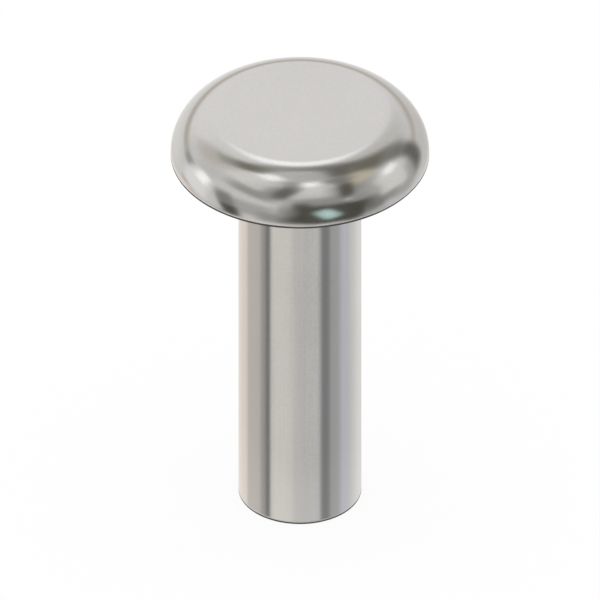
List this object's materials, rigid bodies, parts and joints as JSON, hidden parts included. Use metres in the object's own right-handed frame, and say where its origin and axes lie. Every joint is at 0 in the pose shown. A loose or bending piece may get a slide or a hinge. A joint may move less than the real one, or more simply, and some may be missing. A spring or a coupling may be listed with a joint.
{
  "type": "solid rivet",
  "caption": "Steel rivet with a flat-topped head, a large rounded shoulder and a plain round shank, for joining sheets and straps.",
  "frame": {"origin": "middle of the bearing face, the flat ring under the head, on the rivet's axis", "axes": "+Z along the axis out of the head's top, -Z along the shank; X and Y any two directions across it"},
  "size_m": [0.01, 0.01, 0.018],
  "materials": {
    "bright_steel": "bright satin, cold-headed and tumbled"
  },
  "bodies": {
    "root": {"rivet": "bright_steel"}
  },
  "joints": []
}
